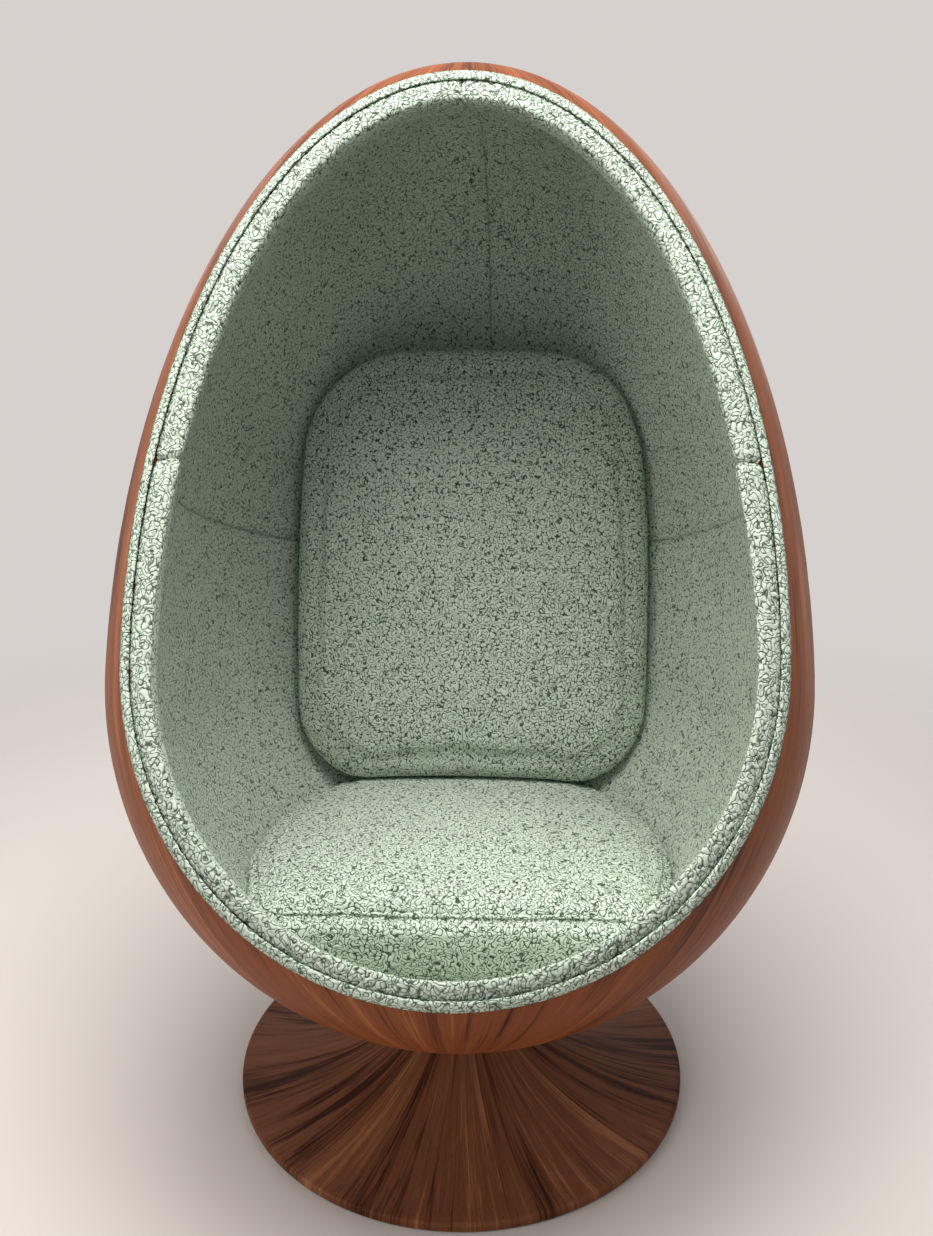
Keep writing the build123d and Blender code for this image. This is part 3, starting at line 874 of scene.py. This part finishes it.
def eased(mesh, values, times):
    """Values drawn towards their neighbours', which leaves the broad swell and no creases."""
    ends = np.empty(len(mesh.edges) * 2, np.int64)
    mesh.edges.foreach_get("vertices", ends)
    one, two = ends.reshape(-1, 2).T
    count = np.bincount(ends, minlength=len(values))[:, None]
    for _ in range(times):
        total = np.stack([
            np.bincount(one, values[two, i], len(values)) + np.bincount(two, values[one, i], len(values))
            for i in range(3)
        ], 1)
        values = (values + total / count) / 2
    return values


def held_inside(points, tree, room):
    """Points drawn back so that none stands more than room outside the solid."""
    out = points.copy()
    for k, point in enumerate(points):
        near, normal, _, gap = tree.find_nearest(Vector(point))
        if near is not None and gap > room[k] and (Vector(point) - near).dot(normal) > 0:
            out[k] = near + normal * room[k]
    return out


def solid_tree(node):
    """A solid's search tree and its mesh, with its points joined."""
    work = bmesh.new()
    work.from_mesh(solids[node].data)
    bmesh.ops.remove_doubles(work, verts=work.verts, dist=1e-5)
    bmesh.ops.recalc_face_normals(work, faces=work.faces)
    tree = BVHTree.FromBMesh(work)
    mesh = bpy.data.meshes.new(node)
    work.to_mesh(mesh)
    work.free()
    return tree, mesh


def swollen(name, node, cloth, room=None, fuller=None):
    """A cushion's cover: cloth over the solid's form, pushed out from inside.

    room is how far past the solid each point may go, and fuller changes the finished form."""
    tree, mesh = solid_tree(node)
    set_points(mesh, points_of(mesh) - normals_of(mesh) * cloth.start_inset * 0.5)
    piece = placed(name, mesh)
    even = piece.modifiers.new("even", "REMESH")
    even.mode = "VOXEL"
    even.voxel_size = cover_cell
    swap_mesh(piece, evaluated(piece))
    smoothed(piece.data, 6)
    start = points_of(piece.data)
    fill = piece.modifiers.new("fill", "CLOTH")
    for setting, value in cover_settings.items():
        setattr(fill.settings, setting, value)
    fill.settings.uniform_pressure_force = cloth.pressure
    fill.settings.effector_weights.gravity = 0
    fill.collision_settings.use_collision = False
    scene = bpy.context.scene
    for step in range(1, fill_steps + 1):
        scene.frame_set(step)
    made = evaluated(piece)
    out = normals_of(piece.data)
    moved = eased(piece.data, points_of(made) - start, 30)
    push = (moved * out).sum(1)
    moved += out * (np.clip(push, -0.0005, cloth.swell_cap) - push)[:, None]
    set_points(made, start + moved)
    swap_mesh(piece, made)
    scene.frame_set(1)
    points = points_of(piece.data)
    spare = room(points) if room else np.zeros(len(points))
    set_points(piece.data, held_inside(points, tree, 0.0004 + spare))
    smoothed(piece.data, 3)
    if fuller:
        set_points(piece.data, fuller(points_of(piece.data)))
    finer = piece.modifiers.new("finer", "SUBSURF")
    finer.levels = finer.render_levels = 1
    swap_mesh(piece, evaluated(piece))
    return piece


def room_in_front(points):
    """How far the back cushion's filling may push its front past the solid."""
    most, middle_x, middle_height = 0.010, 0.008, 0.31
    height = (points - back_foot) @ back_up
    off = np.hypot((points[:, 0] - middle_x) / 0.24, (height - middle_height) / 0.30)
    ahead = unit(((points - back_foot) @ back_face - 0.01) / 0.03)
    return most * ahead * unit(1 - off) ** 0.7


def full_corners(points):
    """The seat cushion's front corners filled out towards the lining."""
    corner_x, corner_y, reach_round, push = 0.225, -0.232, 0.10, 0.020
    near = np.hypot(np.abs(points[:, 0]) - corner_x, points[:, 1] - corner_y)
    still = 0 * near
    way = np.stack([np.sign(points[:, 0]) * 0.84, still - 0.54, still], 1)
    grown = points + way * (gentle(1 - near / reach_round) * push)[:, None]
    room = inset_of(grown) - (pad_outside + seat_clearance)
    return grown + way * np.minimum(room, 0)[:, None] * 1.15


def sew(piece, cloth, distance, seed, coarse=None):
    """Draws a cushion in at its sewn edge and raises the loops of its cloth.

    coarse says where the loops bunch into pebbles, 0 to 1."""
    mesh = piece.data
    points, out = points_of(mesh), normals_of(mesh)
    off = np.abs(distance(points))
    groove = cloth.groove_depth * np.exp(-(off / 0.0035) ** 2)
    swell = 0.0012 * np.exp(-((off - 0.011) / 0.006) ** 2)
    base = points - out * (groove - swell)[:, None]
    set_points(mesh, base)
    out = normals_of(mesh)
    bunched = np.zeros(len(points)) if coarse is None else coarse(points)
    loft = loops(points, cloth.loop_length, seed)
    pebble = loops(points, cloth.pebble_length, seed + 7)
    drop = (1 - bunched) * cloth.loop_depth * (1 - loft) + bunched * cloth.pebble_depth * (1 - pebble)
    set_points(mesh, base - out * drop[:, None])
    loft = (1 - bunched) * (0.35 + 0.65 * loft) + bunched * pebble
    # the loft, and so the cloth's colour, falls near the seam: painted shade in the sewn groove
    set_loft(mesh, loft * unit(0.45 + off / 0.006))


def pebbled_front(points):
    """Where the loops of the seat cushion bunch into pebbles, 0 to 1."""
    starts_at, foot = -0.10, 0.345
    front = unit((starts_at - points[:, 1]) / 0.09)
    return front * np.clip((points[:, 2] - foot) / 0.02, 0.3, 1)


def piping(cover, node, centre, ahead, cloth, material):
    """The sewn edge of a cushion, found by rays towards its middle in the seam's plane."""
    mesh = cover.data
    tree = BVHTree.FromPolygons(points_of(mesh).tolist(), [tuple(p.vertices) for p in mesh.polygons])
    rays, sides, spacing, far_off = 720, 9, 0.0026, 1.2
    found = []
    for turn in turns(rays):
        way = Vector(across) * math.cos(turn) + Vector(ahead) * math.sin(turn)
        far = Vector(centre) + way * far_off
        hit = tree.ray_cast(far, -way)[0]
        found.append(np.array(hit if hit is not None else far - way))
    path = np.array(found)
    for _ in range(10):
        path = (np.roll(path, 1, 0) + path * 2 + np.roll(path, -1, 0)) / 4
    step = np.linalg.norm(np.roll(path, -1, 0) - path, axis=1)
    along = np.concatenate([[0], np.cumsum(step)])
    even = np.linspace(0, along[-1], int(along[-1] / spacing), endpoint=False)
    closed = np.vstack([path, path[:1]])
    path = np.stack([np.interp(even, along, closed[:, i]) for i in range(3)], 1)
    run = np.roll(path, -1, 0) - np.roll(path, 1, 0)
    run /= np.linalg.norm(run, axis=1)[:, None]
    up = np.cross(across, ahead)
    side = np.cross(run, up)
    side /= np.linalg.norm(side, axis=1)[:, None]
    rows = []
    for turn in turns(sides):
        rows.append(path + (side * math.cos(turn) + up * math.sin(turn)) * cloth.piping_radius)
    tube = mesh_of_rows(f"{node}_piping", rows, closed=True)
    points, out = points_of(tube), normals_of(tube)
    if ((points - np.tile(path, (sides, 1))) * out).sum() < 0:
        out = -out
        tube.flip_normals()
    loft = loops(points, cloth.loop_length * 0.7, 77)
    set_points(tube, points - out * ((1 - loft) * 0.0008)[:, None])
    set_loft(tube, loft * 0.6 + 0.3)
    piece = clothed(placed(tube.name, tube), material)
    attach(piece, node)


def finish_cushion(piece, node, centre, ahead):
    """A sewn cover takes its solid's place and gets its sewn edge."""
    material = cloth_material("cloth_cushion")
    clothed(piece, material)
    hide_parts(node)
    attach(piece, node)
    piping(piece, node, centre, ahead, bpy.context.scene.pod_cloth, material)


# ---- operators ----

def dress(names, material):
    """Gives solids that show as they are their material."""
    for name in names:
        mesh = solids[name].data
        if not mesh.materials:
            mesh.materials.append(material)
        for k in range(len(mesh.materials)):
            mesh.materials[k] = material


class PODCHAIR_OT_shell(Operator):
    """Veneers the moulded shell"""

    bl_idname = "podchair.shell"
    bl_label = "Shell veneer"

    def execute(self, context):
        dress(["outer_shell"], shell_veneer(context.scene.pod_wood))
        return {"FINISHED"}


class PODCHAIR_OT_foot(Operator):
    """Veneers the trumpet foot and paints its weight and column"""

    bl_idname = "podchair.foot"
    bl_label = "Foot"

    def execute(self, context):
        dress(["base_trumpet"], foot_veneer(context.scene.pod_wood))
        paint = metal("powder_coat", shade(52, 52, 53), shade(34, 34, 35), 700.0, 0.55, 0.0)
        dress(["base_plate", "column_flange", "column_tube", "swivel_plate"], paint)
        dress(["ballast_disc"],
              metal("cast_iron", shade(70, 68, 66), shade(38, 37, 36), 240.0, 0.7, 0.6, deep=0.0004))
        dress(["floor_pad"], moulded("felt", shade(66, 64, 62), shade(30, 29, 28), 0.95))
        return {"FINISHED"}


class PODCHAIR_OT_swivel(Operator):
    """Finishes the swivel, its bushes and the fasteners"""

    bl_idname = "podchair.swivel"
    bl_label = "Swivel and fasteners"

    def execute(self, context):
        zinc = metal("zinc_plate", shade(196, 196, 194), shade(148, 149, 150), 1.0, 0.34,
                     stretch=(260.0, 260.0, 1400.0))
        dress(["column_bolts", "swivel_spindle", "retaining_ring", "swivel_hub", "plate_bolts",
               "plate_washers", "plate_nuts", "deck_screws"], zinc)
        dress(["neck_spacer", "mounting_saddle"],
              moulded("black_plastic", shade(44, 44, 45), shade(27, 27, 28), 0.6))
        dress(["lower_bush", "upper_bush", "thrust_washer"],
              moulded("pale_plastic", shade(226, 222, 212), shade(204, 200, 190), 0.45))
        return {"FINISHED"}


class PODCHAIR_OT_platform(Operator):
    """Finishes the plywood under the seat"""

    bl_idname = "podchair.platform"
    bl_label = "Seat platform"

    def execute(self, context):
        dress(["mounting_block", "left_deck_rib", "right_deck_rib", "seat_deck"],
              plain_wood("birch_ply", shade(214, 184, 142), shade(170, 130, 88)))
        return {"FINISHED"}


class PODCHAIR_OT_lining(Operator):
    """Makes the four padded panels inside the pod and the cloth over the seat platform"""

    bl_idname = "podchair.lining"
    bl_label = "Lining"

    def execute(self, context):
        make_lining(context.scene.pod_cloth, cloth_material("cloth_wall"), cloth_material("cloth_rim"))
        make_platform_cloth(cloth_material("cloth_wall"))
        return {"FINISHED"}


class PODCHAIR_OT_welt(Operator):
    """Makes the cloth roll on the shell's edge"""

    bl_idname = "podchair.welt"
    bl_label = "Rim welt"

    def execute(self, context):
        make_welt(context.scene.pod_cloth, cloth_material("cloth_rim"))
        return {"FINISHED"}


class PODCHAIR_OT_seat(Operator):
    """Makes the boxed seat cushion and its sewn edge"""

    bl_idname = "podchair.seat"
    bl_label = "Seat cushion"

    def execute(self, context):
        cloth = context.scene.pod_cloth
        piece = swollen("seat_cushion_cover", "seat_cushion", cloth, fuller=full_corners)
        sew(piece, cloth, lambda p: p[:, 2] - seat_seam_height, 31, pebbled_front)
        finish_cushion(piece, "seat_cushion", (0, egg_centre[1], seat_seam_height), (0, 1, 0))
        return {"FINISHED"}


class PODCHAIR_OT_back(Operator):
    """Makes the loose back cushion and its sewn edge"""

    bl_idname = "podchair.back"
    bl_label = "Back cushion"

    def execute(self, context):
        cloth = context.scene.pod_cloth
        piece = swollen("back_cushion_cover", "back_cushion", cloth, room_in_front)
        sew(piece, cloth, lambda p: (p - back_foot) @ back_face, 47)
        finish_cushion(piece, "back_cushion", back_foot + back_up * 0.3, back_up)
        return {"FINISHED"}


def make_floor(look):
    """A wide pale disc that fades out before its edge."""
    f = Finish("pale_floor")
    place = f.place()
    grain = f.between(f.noise(place, 3.0, 3.0), 0.3, 0.7, 0.0, 0.05)
    out = (f.dot(place, (1, 0, 0)) ** 2 + f.dot(place, (0, 1, 0)) ** 2) ** 0.5
    f.set(Base_Color=f.blend(grain, look.floor, (0.5, 0.46, 0.42)), Roughness=0.62)
    f.set(Alpha=f.between(out, 0.9, 2.6, 1.0, 0.0))
    ring = circle(96, floor_radius)
    mesh = bpy.data.meshes.new("floor")
    mesh.from_pydata(ring.tolist(), [], [list(range(len(ring)))])
    mesh.materials.append(f.material)
    placed("floor", mesh)


def make_world(look):
    """Even light from all round, where the camera, metal and glass see the backdrop."""
    bpy.context.scene.world = bpy.data.worlds.new("studio")
    world = Nodes(bpy.context.scene.world)
    ray = world.add("ShaderNodeLightPath", out="Is Camera Ray")
    seen = ray.maths("MAXIMUM", ray.also("Is Glossy Ray"))
    seen = seen.maths("MAXIMUM", ray.also("Is Transmission Ray"))
    light = world.add("ShaderNodeBackground", {}, {0: (0.97, 0.985, 1.0), 1: look.ambient})
    view = world.add("ShaderNodeBackground", {}, {0: look.backdrop, 1: 1.0})
    mix = world.add("ShaderNodeMixShader", {}, {0: seen, 1: light, 2: view})
    world.add("ShaderNodeOutputWorld", {}, {"Surface": mix})


def make_lamps(look):
    """The soft lamps."""
    for name, (power, place, aim, size, tint) in lamps.items():
        data = bpy.data.lights.new(name, "AREA")
        data.shape = "RECTANGLE"
        data.size, data.size_y = size
        data.energy = getattr(look, power)
        data.color = tint
        piece = placed(name, data)
        piece.location = place
        piece.rotation_euler = (Vector(aim) - Vector(place)).to_track_quat("-Z", "Y").to_euler()


def make_camera():
    """The photograph's view."""
    data = bpy.data.cameras.new("view")
    data.sensor_fit = "VERTICAL"
    data.sensor_height = film_height
    data.lens = view_focus * film_height
    data.clip_start = 0.05
    ahead = Vector((
        math.sin(view_yaw) * math.cos(view_pitch), math.cos(view_yaw) * math.cos(view_pitch),
        -math.sin(view_pitch)))
    right = ahead.cross(Vector((0, 0, 1))).normalized()
    up = right.cross(ahead)
    roll_cos, roll_sin = math.cos(view_roll), math.sin(view_roll)
    right, up = right * roll_cos + up * roll_sin, up * roll_cos - right * roll_sin
    turn = Matrix((right, up, -ahead)).transposed().to_4x4()
    camera = placed("view", data)
    camera.matrix_world = Matrix.Translation(view_place) @ turn
    bpy.context.scene.camera = camera


class PODCHAIR_OT_stage(Operator):
    """Makes the pale floor, the soft lamps and the camera"""

    bl_idname = "podchair.stage"
    bl_label = "Stage"

    def execute(self, context):
        look = context.scene.pod_stage
        make_floor(look)
        make_world(look)
        make_lamps(look)
        make_camera()
        context.scene.view_settings.view_transform = "Standard"
        return {"FINISHED"}


class PODCHAIR_PT_panel(Panel):
    """Lists what can be made and what can be changed"""

    bl_label = "Pod chair"
    bl_idname = "PODCHAIR_PT_panel"
    bl_space_type = "VIEW_3D"
    bl_region_type = "UI"
    bl_category = "Pod chair"

    def draw(self, context):
        for operator in makers:
            self.layout.operator(operator.bl_idname)
        for group, kind in groups.items():
            box = self.layout.box()
            for name in kind.__annotations__:
                box.prop(getattr(context.scene, group), name)


groups = {"pod_cloth": PodChairCloth, "pod_wood": PodChairWood, "pod_stage": PodChairStage}
makers = (
    PODCHAIR_OT_stage, PODCHAIR_OT_shell, PODCHAIR_OT_foot, PODCHAIR_OT_swivel, PODCHAIR_OT_platform,
    PODCHAIR_OT_lining, PODCHAIR_OT_welt, PODCHAIR_OT_seat, PODCHAIR_OT_back,
)


def register():
    for kind in (*groups.values(), *makers, PODCHAIR_PT_panel):
        bpy.utils.register_class(kind)
    for group, kind in groups.items():
        setattr(bpy.types.Scene, group, PointerProperty(type=kind))


def unregister():
    for group in groups:
        delattr(bpy.types.Scene, group)
    for kind in reversed((*groups.values(), *makers, PODCHAIR_PT_panel)):
        bpy.utils.unregister_class(kind)


def main():
    register()
    for operator in makers:
        name = operator.bl_idname.split(".")[1]
        getattr(bpy.ops.podchair, name)()


if __name__ == "__main__":
    main()
